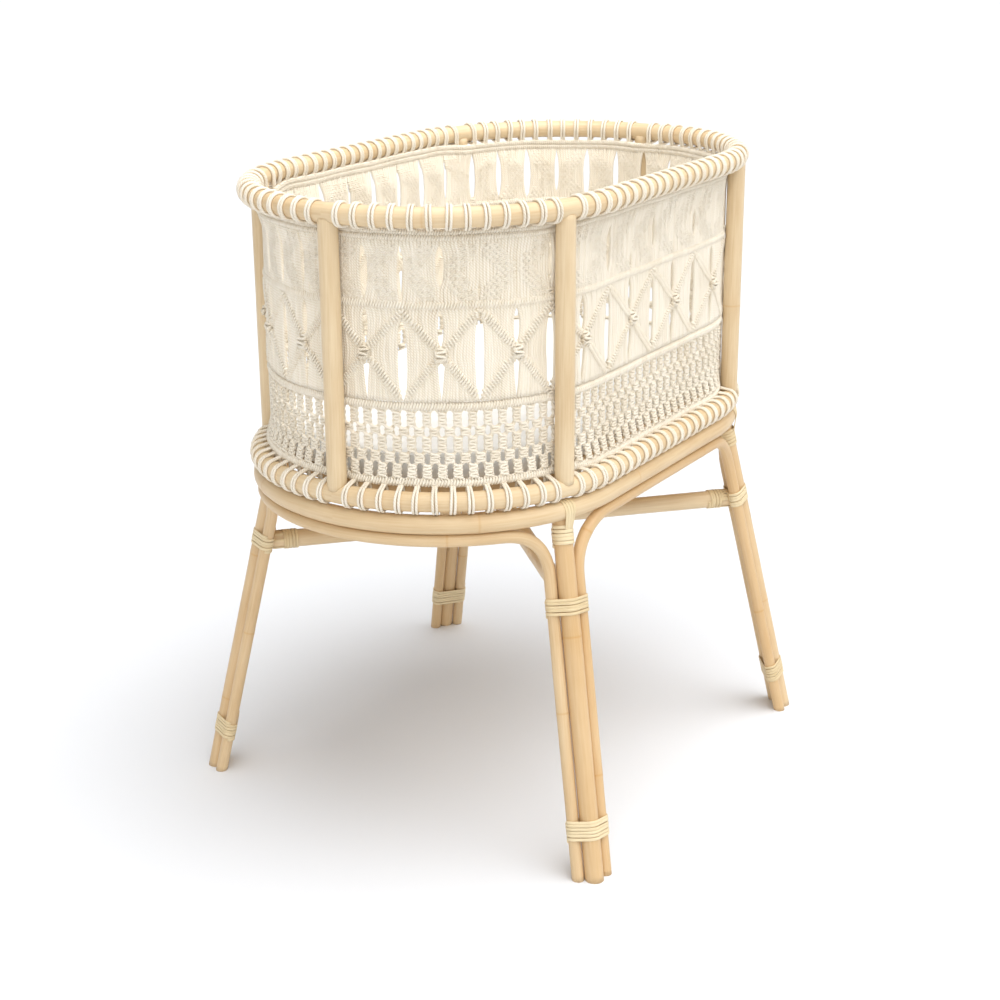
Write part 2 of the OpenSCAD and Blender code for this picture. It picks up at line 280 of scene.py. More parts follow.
def node(nt, kind, inputs=None, **props):
    n = nt.nodes.new(kind)
    for key, value in props.items():
        setattr(n, key, value)
    feed(nt, n, inputs or {})
    return n


def calc(nt, operation, *values):
    return node(nt, "ShaderNodeMath", dict(enumerate(values)), operation=operation).outputs[0]


def weighted(nt, *pairs):
    """The sum of values, each times its weight."""
    total = None
    for value, weight in pairs:
        part = calc(nt, "MULTIPLY", value, weight)
        total = part if total is None else calc(nt, "ADD", total, part)
    return total


def ramp(nt, fac, stops):
    r = nt.nodes.new("ShaderNodeValToRGB")
    ends = r.color_ramp.elements
    for element, (pos, col) in ((ends[0], stops[0]), (ends[1], stops[-1])):
        element.position = pos
        element.color = (*col, 1)
    for pos, col in stops[1:-1]:
        r.color_ramp.elements.new(pos).color = (*col, 1)
    nt.links.new(fac, r.inputs["Fac"])
    return r.outputs["Color"]


def object_coords(nt):
    return node(nt, "ShaderNodeTexCoord").outputs["Object"]


def scaled(nt, vector, scale):
    return node(nt, "ShaderNodeMapping", {"Vector": vector, "Scale": scale}).outputs["Vector"]


def strand_uv(nt):
    return node(nt, "ShaderNodeUVMap", uv_map="strand").outputs["UV"]


def strand_coords(nt, along, around):
    return scaled(nt, strand_uv(nt), (along, around, 1.0))


def strand_tone(nt):
    return node(nt, "ShaderNodeAttribute", attribute_name="tone").outputs["Fac"]


def noise(nt, vector, scale, detail, **more):
    inputs = {"Vector": vector, "Scale": scale, "Detail": detail}
    inputs.update({key.capitalize(): value for key, value in more.items()})
    return node(nt, "ShaderNodeTexNoise", inputs).outputs["Fac"]


def relief(nt, bsdf, height, strength, distance):
    bump = node(nt, "ShaderNodeBump", {"Height": height, "Strength": strength, "Distance": distance})
    nt.links.new(bump.outputs["Normal"], bsdf.inputs["Normal"])


def rattan_material():
    m, nt, bsdf = new_material("rattan")
    cloud = noise(nt, object_coords(nt), 7.0, 3.0)
    grain = noise(nt, strand_coords(nt, 0.012, 26.0), 1.0, 6.0, roughness=0.62)
    fine = noise(nt, strand_coords(nt, 0.05, 90.0), 1.0, 3.0, roughness=0.6)
    base = ramp(nt, weighted(nt, (grain, 0.55), (cloud, 0.45)),
                [(0.30, (0.61, 0.43, 0.235)), (0.46, (0.70, 0.53, 0.32)),
                 (0.58, (0.75, 0.59, 0.375)), (0.74, (0.80, 0.655, 0.45))])
    # darker rings where a shoot left the pole, and a tone for each pole: partly its own at random,
    # partly painted shade on the poles that sit in shade
    dark = node(nt, "ShaderNodeMix", {0: calc(nt, "MULTIPLY", strand_tone(nt), 0.6), 6: base,
                                      7: (0.58, 0.29, 0.06, 1.0)}, data_type="RGBA")
    feed(nt, bsdf, {"Base Color": dark.outputs[2], "Specular IOR Level": 0.42,
                    "Roughness": calc(nt, "MULTIPLY_ADD", grain, 0.22, 0.30)})
    relief(nt, bsdf, fine, 0.22, 0.0004)
    return m


def cane_material():
    m, nt, bsdf = new_material("cane")
    grain = noise(nt, strand_coords(nt, 0.03, 14.0), 1.0, 5.0, roughness=0.65)
    base = ramp(nt, weighted(nt, (grain, 0.8), (strand_tone(nt), 0.14)),
                [(0.28, (0.62, 0.46, 0.24)), (0.46, (0.76, 0.61, 0.37)), (0.64, (0.82, 0.69, 0.45))])
    feed(nt, bsdf, {"Base Color": base, "Roughness": calc(nt, "MULTIPLY_ADD", grain, 0.25, 0.38)})
    relief(nt, bsdf, grain, 0.35, 0.0004)
    return m


def cord_material():
    """Cotton cord of three plies: the plies run round it in a helix, with loose fibres over them. The
    grooves between the plies are painted darker brown, as painted shade.
    """
    m, nt, bsdf = new_material("cord")
    plies, lay = 3.0, 11.0                            # one turn in 11 mm
    uv = node(nt, "ShaderNodeSeparateXYZ", {"Vector": strand_uv(nt)})
    turn = weighted(nt, (uv.outputs["Y"], plies), (uv.outputs["X"], plies / lay))
    # 1 on each ply's crown and 0 in the grooves: it gives the bump, and painted shade in the grooves
    ply_relief_and_groove_shade = calc(nt, "ABSOLUTE", calc(nt, "SINE", calc(nt, "MULTIPLY", turn, math.pi)))
    fibre = noise(nt, object_coords(nt), 900.0, 3.0)
    cloud = noise(nt, object_coords(nt), 12.0, 2.0)
    # painted shade: the ramp's dark brown end falls in the grooves between the plies
    base = ramp(nt, weighted(nt, (ply_relief_and_groove_shade, 0.45), (strand_tone(nt), 0.2), (cloud, 0.35)),
                [(0.10, (0.54, 0.42, 0.27)), (0.34, (0.82, 0.73, 0.58)), (0.80, (0.93, 0.865, 0.75))])
    feed(nt, bsdf, {"Base Color": base, "Roughness": 0.88, "Specular IOR Level": 0.2,
                    "Sheen Weight": 0.15})
    relief(nt, bsdf, calc(nt, "ADD", ply_relief_and_groove_shade, calc(nt, "MULTIPLY", fibre, 0.35)), 0.55, 0.0006)
    return m


def cover_material():
    m, nt, bsdf = new_material("mattress_cover")
    warp, weft = (node(nt, "ShaderNodeTexWave",
                       {"Vector": object_coords(nt), "Scale": 420.0, "Distortion": 0.6, "Detail": 1.0},
                       bands_direction=axis).outputs["Fac"] for axis in "XY")
    weave = calc(nt, "MULTIPLY", warp, weft)
    cloud = noise(nt, object_coords(nt), 9.0, 4.0)
    base = ramp(nt, weighted(nt, (weave, 0.3), (cloud, 0.7)),
                [(0.2, (0.88, 0.88, 0.875)), (0.65, (0.95, 0.95, 0.945))])
    feed(nt, bsdf, {"Base Color": base, "Roughness": 0.92, "Sheen Weight": 0.2})
    relief(nt, bsdf, weave, 0.5, 0.0005)
    return m


def plank_material(name, dark, light, stretch):
    m, nt, bsdf = new_material(name)
    grain = noise(nt, scaled(nt, object_coords(nt), stretch), 1.0, 7.0, roughness=0.6, distortion=0.4)
    feed(nt, bsdf, {"Base Color": ramp(nt, grain, [(0.3, dark), (0.7, light)]),
                    "Roughness": calc(nt, "MULTIPLY_ADD", grain, 0.2, 0.5)})
    relief(nt, bsdf, grain, 0.25, 0.0005)
    return m


def steel_material():
    m, nt, bsdf = new_material("screw_steel")
    marks = noise(nt, object_coords(nt), 700.0, 2.0)
    base = ramp(nt, marks, [(0.3, (0.45, 0.45, 0.46)), (0.7, (0.62, 0.62, 0.63))])
    feed(nt, bsdf, {"Base Color": base, "Metallic": 1.0,
                    "Roughness": calc(nt, "MULTIPLY_ADD", marks, 0.2, 0.25)})
    return m


RATTAN, CANE, CORD, COVER = rattan_material(), cane_material(), cord_material(), cover_material()
FINISH = {"rattan": RATTAN, "cane": CANE, "cord": CORD, "mattress_cover": COVER,
          "board": plank_material("board", (0.66, 0.44, 0.23), (0.80, 0.60, 0.36), (3.0, 60.0, 60.0)),
          "dowel": plank_material("dowel", (0.55, 0.38, 0.20), (0.70, 0.53, 0.32), (80.0, 80.0, 6.0)),
          "screw_steel": steel_material()}
for part in frame["record"]["subparts"]:
    ob = frame["nodes"][part["node"]]
    if not ob.material_slots:
        ob.data.materials.append(FINISH[part["material_slot"]])
    for s in ob.material_slots:
        s.material = FINISH[part["material_slot"]]


# ---------------------------------------------------------------- rattan poles
def pole(name, body, points, radius, seed, joints=(), closed=False, step=7.0, painted_shade=0.0):
    """A rattan pole along points: a little uneven, with a swelling and a dark line at each joint. A
    given amount of painted shade darkens the whole pole, for the poles that sit in shade.
    """
    base = even(points, step, closed)
    s = run_length(base)
    total = s[-1] + (np.linalg.norm(base[0] - base[-1]) if closed else 0)
    at = set(np.round(s, 3))
    marks = [j * total for j in joints]
    for j in marks:
        for k in (-9, -5, -2.6, -1.1, 0, 1.1, 2.6, 5, 9):
            if 0 < j + k < s[-1]:
                at.add(round(j + k, 3))
    at = np.array(sorted(at))
    at = at[np.concatenate([[True], np.diff(at) > 0.35])]
    line = resample(base, s, at)
    rad = radius * (1 + 0.006 * np.sin(at * 0.021 + seed * 7.1)
                    + 0.004 * np.sin(at * 0.057 + seed * 3.3))
    # painted shade darkens the whole pole; the rest is its own tone, at random and along it
    tone = painted_shade + 0.08 * chance(seed, 3) + 0.04 * np.sin(at * 0.006 + seed)
    for j in marks:
        d = at - j
        rad = rad + 0.30 * np.exp(-(d / 5.0) ** 2) - 0.25 * np.exp(-(d / 1.0) ** 2)
        tone = tone + 0.42 * np.exp(-(d / 1.2) ** 2) + 0.07 * np.exp(-(d / 14.0) ** 2)
    skin = Skin()
    skin.tubes(line, rad[None], sides=28, closed=closed, tone=tone[None])
    return give(skin.build(name + "_pole", RATTAN), body, "rattan", name)


# the fifth number in each row is painted shade: the stand's ring is painted darker as it sits in shade
# under the basket
for name, body, z, seed, painted_shade, joints in (
        ("rim_ring", "basket", RIM_Z, 1, 0.0, (0.055, 0.19, 0.335, 0.47, 0.61, 0.74, 0.88)),
        ("lower_ring", "basket", RING_Z, 2, 0.0, (0.11, 0.27, 0.40, 0.56, 0.69, 0.83, 0.95)),
        ("stand_ring", "stand", STAND_Z, 3, 0.16, (0.083, 0.21, 0.37, 0.50, 0.66, 0.79, 0.93))):
    ring = place(np.linspace(0, AROUND, 400, endpoint=False), z, 0.0)
    pole(name, body, ring, POLE_R, seed, joints, closed=True, painted_shade=painted_shade)

POST_NODES = {"post_head_end": 0, "post_corner_1": 1, "post_corner_2": 2, "post_foot_end": 3,
              "post_corner_3": 4, "post_corner_4": 5}
for name, i in POST_NODES.items():
    foot_pt = place(POSTS[i], RING_Z + 6, 0.0)
    head_pt = place(POSTS[i], RIM_Z - 6, 0.0)
    pole(name, "basket", np.array([foot_pt, head_pt]), POLE_R - 0.1, 10 + i,
         ((0.18 + 0.6 * chance(i, 5)),) if i in (2, 4) else ())

# legs, from the rings' sizes and a given point for the foot
LEG_SIGNS = [(-1, -1), (1, -1), (1, 1), (-1, 1)]
LEG_INSET = 6.0                      # the leg's top is this far inside the ring's middle
leg_head = np.array([STRAIGHT + (END_R - LEG_INSET) * math.cos(POST_ANGLE),
                     (END_R - LEG_INSET) * math.sin(POST_ANGLE), STAND_Z - POLE_R])
foot = np.array([316.0, 326.0, 0.0])


def unit(v):
    return v / np.linalg.norm(v)


leg_dir = unit(foot - leg_head)
leg_out = unit(np.cross(leg_dir, np.cross(leg_dir, [0, 0, -1])))
leg_side = np.cross(leg_dir, leg_out)
GAP = 0.3
REACH = POLE_R + THIN_R + GAP
ARCH_Z = STAND_Z - POLE_R - THIN_R - GAP
BEND_R = 70.0
TUCK = math.radians(20)              # how far round the leg the two thin poles sit


def leg_at(z):
    return leg_head + leg_dir * ((z - leg_head[2]) / leg_dir[2])


def thin_at(side, p):
    return p + REACH * (side * math.cos(TUCK) * leg_side - math.sin(TUCK) * leg_out)


def signed(p, s):
    return np.asarray(p, float) * np.array([s[0], s[1], 1.0])


def flat_foot(ob):
    """Flattens what dips below the floor at the cut end of a leg."""
    co = np.empty(len(ob.data.vertices) * 3)
    ob.data.vertices.foreach_get("co", co)
    co = co.reshape(-1, 3)
    d = np.sign(co[:, :2]) * (leg_dir[:2] / leg_dir[2])
    low = co[:, 2] < 0.004
    co[low, :2] -= d[low] * co[low, 2:3]
    co[low, 2] = 0.0
    ob.data.vertices.foreach_set("co", co.ravel())
    ob.data.update()


LEG_JOINTS = ((0.33, 0.86), (0.62,), (0.47,), (0.30, 0.77))
# painted shade: how much darker each leg is painted, where it looks shaded
LEG_PAINTED_SHADES = (0.62, 0.30, 0.45, 0.42)
for i, s in enumerate(LEG_SIGNS):
    line = np.array([signed(leg_head - 6 * leg_dir, s), signed(foot, s)])
    flat_foot(pole("leg_%d" % (i + 1), "stand", line, POLE_R, 20 + i, LEG_JOINTS[i],
                   painted_shade=LEG_PAINTED_SHADES[i]))


def thin_half(side, level, along):
    """A thin pole from the floor up beside the leg, and round its bend to the point level."""
    top = thin_at(side, leg_head)
    low = top - leg_dir * (top[2] / leg_dir[2])
    turn = top + leg_dir * ((ARCH_Z - BEND_R - top[2]) / leg_dir[2])
    handle = 0.6 * BEND_R
    b, c = turn - handle * leg_dir, level + handle * along
    t = np.linspace(0, 1, 24)[:, None]
    curve = (1 - t) ** 3 * turn + 3 * (1 - t) ** 2 * t * b + 3 * (1 - t) * t * t * c + t ** 3 * level
    return np.concatenate([[low], curve])


a0 = POST_ANGLE - (BEND_R + 24) / END_R
start = np.array([STRAIGHT + END_R * math.cos(a0), END_R * math.sin(a0), ARCH_Z])
half = thin_half(1, start, np.array([-math.sin(a0), math.cos(a0), 0.0]))
mid = np.array([[STRAIGHT + END_R * math.cos(a), END_R * math.sin(a), ARCH_Z]
                for a in np.linspace(a0, -a0, 40)[1:-1]])
end_arch = np.concatenate([half, mid, (half * [1, -1, 1])[::-1]])
half = thin_half(-1, np.array([STRAIGHT, END_R, ARCH_Z]), np.array([1.0, 0.0, 0.0]))
side_arch = np.concatenate([half, (half * [-1, 1, 1])[::-1]])
# the fourth number in each row is painted shade: how much darker each arch is painted, where it looks
# shaded
for name, line, seed, painted_shade, joints in (
        ("arch_end_1", end_arch * [-1, 1, 1], 31, 0.26, (0.155, 0.36, 0.60, 0.845)),
        ("arch_end_2", end_arch, 32, 0.22, (0.10, 0.30, 0.52, 0.77)),
        ("arch_side_1", side_arch * [1, -1, 1], 33, 0.60, (0.13, 0.41, 0.66, 0.90)),
        ("arch_side_2", side_arch, 34, 0.42, (0.21, 0.45, 0.71))):
    flat_foot(pole(name, "stand", line, THIN_R, seed, joints, painted_shade=painted_shade))

BRACE_Z = {1: middle_z("brace_upper"), -1: middle_z("brace_lower")}
brace_end = leg_at((BRACE_Z[1] + BRACE_Z[-1]) / 2)
for side, name in ((1, "brace_upper"), (-1, "brace_lower")):
    e = np.array([brace_end[0], side * brace_end[1], BRACE_Z[side]])
    short = 10 * unit(np.array([e[0], e[1], 0]))
    line = np.array([e * [-1, -1, 1] + short, e - short])
    if side == 1:
        line = np.array([line[0], line[0] * [0.2, 0.2, 1], [0, 0, BRACE_Z[1]],
                         line[1] * [0.2, 0.2, 1], line[1]])
    # a little painted shade: the brace is painted darker as it sits in shade under the basket
    pole(name, "stand", line, POLE_R, 40 + side, (0.24, 0.63, 0.88) if side == 1 else (0.17, 0.71),
         painted_shade=0.04)

SLAT_Z = RING_Z - 2
for i, x in enumerate((-240, -120, 0, 120, 240)):
    dx = max(abs(x) - STRAIGHT, 0)
    y = math.sqrt(END_R ** 2 - dx * dx) - 8
    line = np.array([[x, -y, SLAT_Z], [x, y, SLAT_Z]])
    pole("base_slat_%d" % (i + 1), "basket", line, THIN_R, 50 + i, (0.2 + 0.6 * chance(i, 9),))


# ---------------------------------------------------------------- cane bindings
def hull_outline(circles, grow, count=72):
    """The tight outline round circles (x, y, r), as (count, 2)."""
    phi = np.linspace(0, 2 * math.pi, 721)[:-1]
    u = np.stack([np.cos(phi), np.sin(phi)], 1)
    sup = np.array([u @ np.array(c[:2]) + c[2] + grow for c in circles])
    best = sup.argmax(0)
    centres = np.array([c[:2] for c in circles])[best]
    pts = centres + np.array([c[2] + grow for c in circles])[best][:, None] * u
    loop = np.concatenate([pts, pts[:1]])
    s = run_length(loop)
    return resample(loop, s, np.linspace(0, s[-1], count + 1)[:-1])


def wound(skin, origin, ex, ey, ez, circles, length, turns, thick, seed, count=64):
    """Flat cane wound round circles given in the plane of ex and ey, over length along ez."""
    width = (length - 0.35 * turns) / (turns + 1)
    out = hull_outline(circles, thick * 0.55, count)
    tan = np.roll(out, -1, 0) - np.roll(out, 1, 0)
    nrm = np.stack([tan[:, 1], -tan[:, 0]], 1)
    nrm /= np.linalg.norm(nrm, axis=1, keepdims=True)
    n = turns * count
    k = np.arange(n + 1)
    p2, n2 = out[k % count], nrm[k % count]
    q = k / n
    lean = 0.7 * np.sin(2 * math.pi * k / count + seed)
    h = (q - 0.5) * (length - width) + lean * 0.6 + 0.35 * np.sin(k * 0.043 + seed * 2.1)
    lift = 0.25 * np.sin(k * 0.11 + seed) ** 2
    flat_pts = p2 + lift[:, None] * n2
    pts = origin + flat_pts[:, :1] * ex + flat_pts[:, 1:] * ey + h[:, None] * ez
    face = n2[:, :1] * ex + n2[:, 1:] * ey
    skin.tubes(pts[None], width / 2, sides=10, flat=thick / width, face=face[None],
               tone=[0.5 + 0.5 * math.sin(seed * 3.7)])


def strips(skin, lines, faces, width, thick, seed):
    """Flat cane laid along each of lines."""
    for i, (line, f) in enumerate(zip(lines, faces)):
        skin.tubes(np.asarray(line)[None], width / 2, sides=10, flat=thick / width,
                   face=np.asarray(f)[None], tone=[chance(seed, i)])


UP = np.array([0.0, 0.0, 1.0])
ONE_POLE = [(0.0, 0.0, POLE_R)]
LEG_POLES = ONE_POLE + [(k * REACH * math.cos(TUCK), -REACH * math.sin(TUCK), THIN_R) for k in (1, -1)]


def over_ring(s):
    """Four strips that pass over the stand's ring and down the leg: their lines and directions."""
    ang = math.atan2(leg_head[1], leg_head[0] - STRAIGHT)
    radial = np.array([math.cos(ang), math.sin(ang), 0.0])
    tang = np.array([-math.sin(ang), math.cos(ang), 0.0])
    centre = np.array([STRAIGHT + END_R * math.cos(ang), END_R * math.sin(ang), STAND_Z])
    shift = float(np.dot(leg_at(468.0)[:2] - centre[:2], radial[:2]))
    rr = POLE_R + 0.75
    lines, faces = [], []
    for k in range(4):
        off = (k - 1.5) * 4.7
        low = off * 0.62
        side = math.sqrt(max((POLE_R + 0.9) ** 2 - low ** 2, 1.0))
        pts = [(shift + side, low, 462.0 - STAND_Z), (shift * 0.75 + side, low, 470.0 - STAND_Z)]
        nrm = [(1.0, 0.0)] * 2
        for g in np.linspace(-0.28, math.pi + 0.28, 22):
            from_top = abs(g - math.pi / 2)
            w = min(1.0, (from_top - 1.2) / 0.7) if from_top > 1.2 else 0.0
            pts.append((rr * math.cos(g), off * (1 - w) + (off * 0.85) * w, rr * math.sin(g)))
            nrm.append((math.cos(g), math.sin(g)))
        pts += [(shift - side, low, 470.0 - STAND_Z), (shift - side, low, 462.0 - STAND_Z)]
        nrm += [(-1.0, 0.0)] * 2
        pts = np.array(pts)
        line = centre + pts[:, :1] * radial + pts[:, 1:2] * tang + pts[:, 2:] * UP
        lines.append(signed(line, s))
        faces.append(signed(np.array([c * radial + d * UP for c, d in nrm]), s))
    return lines, faces


for i, s in enumerate(LEG_SIGNS):
    ex, ey, ez = signed(leg_side, s), signed(leg_out, s), signed(leg_dir, s)
    n = i + 1
    # near the foot, and at the brace
    for label, z, length, turns, seed in (("foot", 68.0, 32.0, 6, i + 0.3),
                                          ("mid", 364.0, 27.0, 5, i + 1.1)):
        sk = Skin()
        wound(sk, signed(leg_at(z), s), ex, ey, ez, LEG_POLES, length, turns, 1.6, seed)
        give(sk.build("%s_cane_%d" % (label, n), CANE), "stand", "cane",
             "leg_%s_binding_%d" % (label, n))
    # round the top of the leg, and over the stand's ring
    sk = Skin()
    wound(sk, signed(leg_at(456.0), s), ex, ey, ez, ONE_POLE, 31.0, 5, 1.6, i + 2.2, 40)
    strips(sk, *over_ring(s), 4.3, 1.2, n)
    give(sk.build("top_cane_%d" % n, CANE), "stand", "cane", "leg_top_binding_%d" % n)
    # on the brace pole, a little way in from the leg, with a strap back to the leg
    side = 1 if s[0] * s[1] > 0 else -1
    e = np.array([s[0] * brace_end[0], s[1] * brace_end[1], BRACE_Z[side]])
    inward = unit(np.array([-e[0], -e[1], 0.0]))
    across = np.cross(UP, inward)
    sk = Skin()
    wound(sk, e + 40.5 * inward, across, UP, inward, ONE_POLE, 26.0, 5, 1.4, i + 3.4, 40)
    lines, faces = [], []
    for g in (0.25, 0.62, 1.0, 1.38, 2.2, 2.9, 3.9, 5.3):
        dirn = math.cos(g) * across + math.sin(g) * UP
        lines.append([e + t * inward + (POLE_R + 0.7) * dirn for t in (15.0, 20.0, 26.0, 32.0)])
        faces.append(np.repeat(dirn[None], 4, 0))
    strips(sk, lines, faces, 4.4, 1.1, 60 + n)
    give(sk.build("brace_cane_%d" % n, CANE), "stand", "cane", "brace_binding_%d" % n)

sk = Skin()
for side in (1, -1):
    d = unit(np.array([brace_end[0], side * brace_end[1], 0.0]))
    for k in (-1, 1):
        wound(sk, BRACE_Z[side] * UP + k * 24.0 * d, np.cross(UP, d), UP, d, ONE_POLE, 16.0, 3, 1.4,
              5.0 + side + k, 40)
give(sk.build("crossing_cane", CANE), "stand", "cane", "brace_crossing_binding")


# ---------------------------------------------------------------- the knotted net
MID_RIDGE, LOW_RIDGE, HEM = 772.5, 643.0, 543.6       # heights of the ridges
END_MOTIF = 104.3                                     # a motif's width round the ends
CORD_PITCH, KNOT_PITCH = 4.8, 21.3
# Slits above the crosses, one at each motif edge and middle in turn: bottom, top, width
HIGH_SLITS = [(790, 848, 8), (783, 848, 13), (775, 849, 10), (797, 849, 12), (784, 798, 4), None,
              (790, 850, 7), None, (785, 846, 13), (772, 802, 4), (794, 842, 9), None,
              (791, 827, 11), None, (780, 832, 10), (786, 846, 9)]
FAR_SLITS = [(778, 853, 13), (782, 851, 11), (779, 852, 12), (786, 850, 8)]


def lens(z, z0, z1, sharp):
    """A slit's width from z0 to z1, 1 at its middle."""
    q = np.clip((z - z0) / (z1 - z0), 0, 1)
    return np.sin(math.pi * q) ** sharp * ((z > z0) & (z < z1))


def edge_slit(h, z):
    """Half width of the slit at half-motif h, where the cords of two groups part."""
    w = np.zeros_like(z)
    slit = HIGH_SLITS[h] if h < len(HIGH_SLITS) else FAR_SLITS[h % len(FAR_SLITS)]
    if slit:
        w = w + lens(z, slit[0], slit[1], 0.45) * slit[2] / 2
    if h % 2 == 0:                                    # between two crosses: one long slit
        top = 750 + 14 * chance(h, 2)
        return w + lens(z, 650, top, 0.30) * (6.3 + 1.2 * chance(h, 4))
    # through a cross's middle: one slit above its knot and one below
    w = w + lens(z, 719, 766, 0.5) * (4.2 + 1.2 * chance(h, 6))
    below = np.clip((z - 648) / 52, 0, 1) ** 0.7 * ((z < 701) & (z > 648))
    return w + below * np.clip((701 - z) / 5, 0, 1) * (4.8 + 1.0 * chance(h, 8))


def cord_x(t, z, h0, width):
    """Place across a motif of the cord at fraction t, at heights z."""
    left, middle, right = (edge_slit(h, z) * (width / END_MOTIF) for h in (h0, h0 + 1, h0 + 2))
    if t < 0.5:
        return left + (width / 2 - middle - left) * (t / 0.5)
    return width / 2 + middle + (width / 2 - right - middle) * ((t - 0.5) / 0.5)


def sinnet(a, z, w, n, h, f, samples=8):
    """The two working cords of n half knots of height h, half width w and depth f, from z down.

    Returns two (N, 3) paths as a, z, d."""
    s = np.linspace(0, n, n * samples + 1)
    near = np.abs(s - np.round(s))
    swing = np.tanh(2.0 * np.cos(math.pi * s)) / math.tanh(2.0)
    over = np.abs(np.sin(math.pi * s))
    zz = z - s * h
    return (np.stack([a - w * swing, zz, f * over ** 0.7], 1),
            np.stack([a + 1.1 * w * swing, zz - 0.25 * h,
                      -f * over ** 0.8 + f * np.exp(-(near / 0.16) ** 2)], 1))


def bead(a, z, rz, rd, lean, tilt):
    """One turn of cord round a holding cord: a closed ring as a, z, d. tilt leans its long axis."""
    g = np.linspace(0, 2 * math.pi, 8, endpoint=False)
    v = rz * np.cos(g)
    return np.stack([a + v * math.sin(tilt) + lean * np.sin(g), z + v * math.cos(tilt),
                     rd * np.sin(g)], 1)


def bow(a, z):
    """How far the net stands out between the posts at its top and bottom edges."""
    a, z = np.broadcast_arrays(np.asarray(a, float), np.asarray(z, float))
    away = np.min([np.abs(np.mod(a - p + AROUND / 2, AROUND) - AROUND / 2) for p in POSTS], axis=0)
    edge = np.clip((z - 832) / 26, 0, 1) + np.clip((575 - z) / 30, 0, 1)
    return 5.8 * np.clip((away - 10) / 45, 0, 1) ** 0.6 * edge * edge * (3 - 2 * edge)


def pull(a, z):
    """The net reaches closer to the rings along the straight sides."""
    a, z = np.broadcast_arrays(np.asarray(a, float), np.asarray(z, float))
    half = np.mod(a, AROUND / 2)
    from_post = np.minimum(half - POSTS[1], AROUND / 2 - POSTS[1] - half)
    side = np.clip((from_post - 8) / 60, 0, 1)
    return z + side * (4.5 * np.clip((z - 835) / 22, 0, 1) - 6.5 * np.clip((590 - z) / 45, 0, 1))


def to_world(paths, depth=NET_D):
    p = np.asarray(paths)
    return place(p[..., 0], pull(p[..., 0], p[..., 1]), p[..., 2] + depth + bow(p[..., 0], p[..., 1]))


def standing_cords(skin, a0, width, h0, m):
    """The upright cords above the low ridge, parted at each slit."""
    z = np.concatenate([np.linspace(857, 778, 11), np.linspace(767, 649, 19)])
    cords = int(round(width / CORD_PITCH))
    paths = []
    for j in range(cords):
        x = cord_x((j + 0.5) / cords, z, h0, width)
        wob = 0.16 * np.sin(z * 0.11 + j * 2.3 + m) + 0.12 * np.sin(z * 0.23 + j * 5.1)
        d = 0.35 * math.sin(j * 2.1 + m) + 0.25 * np.sin(z * 0.07 + j * 1.7)
        paths.append(np.stack([a0 + x + wob, z, d], 1))
    skin.tubes(to_world(paths), 2.42, sides=8)


def ridge(skin, a0, width, m, zr, rz, rd):
    """A level ridge at height zr: turns of cord round a holding cord."""
    fine = zr > 850                                   # the two ridges under the rim
    turns = int(int(round(width / CORD_PITCH)) * (1.4 if fine else 1.2))
    rings = []
    for j in range(turns):
        a = a0 + (j + 0.5) / turns * width
        z = zr + 0.25 * math.sin(j * 1.9 + m * 3.1) + 0.5 * math.sin(a * 0.045 + zr)
        rings.append(bead(a, z, rz - 0.4 + 0.4 * chance(j, m, zr), rd, 1.0, 0.35))
    skin.tubes(to_world(rings), 1.55 if fine else 1.75, sides=6, closed=True)
    a = a0 + np.linspace(-2, width + 2, 16)
    hold = np.stack([a, np.full_like(a, zr), np.zeros_like(a)], 1)
    skin.tubes(to_world(hold[None]), rz * 0.62, sides=8)


def cross(skin, a0, width, h0):
    """The four arms of the cross, each a double diagonal ridge."""
    beads = int(round(16 * (width / END_MOTIF) ** 0.7))
    for sgn in (1, -1):
        for upward in (1, -1):
            for row in (-3.3, 3.3):
                rings, path = [], []
                for j in range(beads):
                    q = (j + 0.5) / beads             # 0 at the motif's edge, 1 at its middle
                    z = (764.0 - 51.0 * q if upward > 0 else 656.0 + 51.5 * q) + row
                    t = q / 2 if sgn > 0 else 1 - q / 2
                    x = float(cord_x(t, np.array([z]), h0, width)[0])
                    rings.append(bead(a0 + x, z, 2.7, 3.8, 0.5, math.radians(40) * sgn * upward))
                    path.append([a0 + x, z, 0.0])
                skin.tubes(to_world(rings), 1.8, sides=6, closed=True)
                skin.tubes(to_world(np.array(path)[None]), 2.0, sides=6)


def cross_knot(skin, a0, width, m):
    """The round knot at the middle of the cross: five half knots rolled into a ball."""
    size = 1.05 + 0.35 * chance(m, 11)
    for path in sinnet(0.0, 0.0, 5.6 * size, 5, 4.2, 2.6):
        turn = math.radians(95) + path[:, 1] / (5 * 4.2) * math.radians(190)
        reach = 4.4 * size + path[:, 2]
        ball = np.stack([a0 + width / 2 + path[:, 0] * (0.75 + 0.25 * np.cos(turn)),
                         710.5 + reach * np.sin(turn), 2.6 + reach * np.cos(turn)], 1)
        skin.tubes(to_world(ball[None]), 1.75, sides=7)


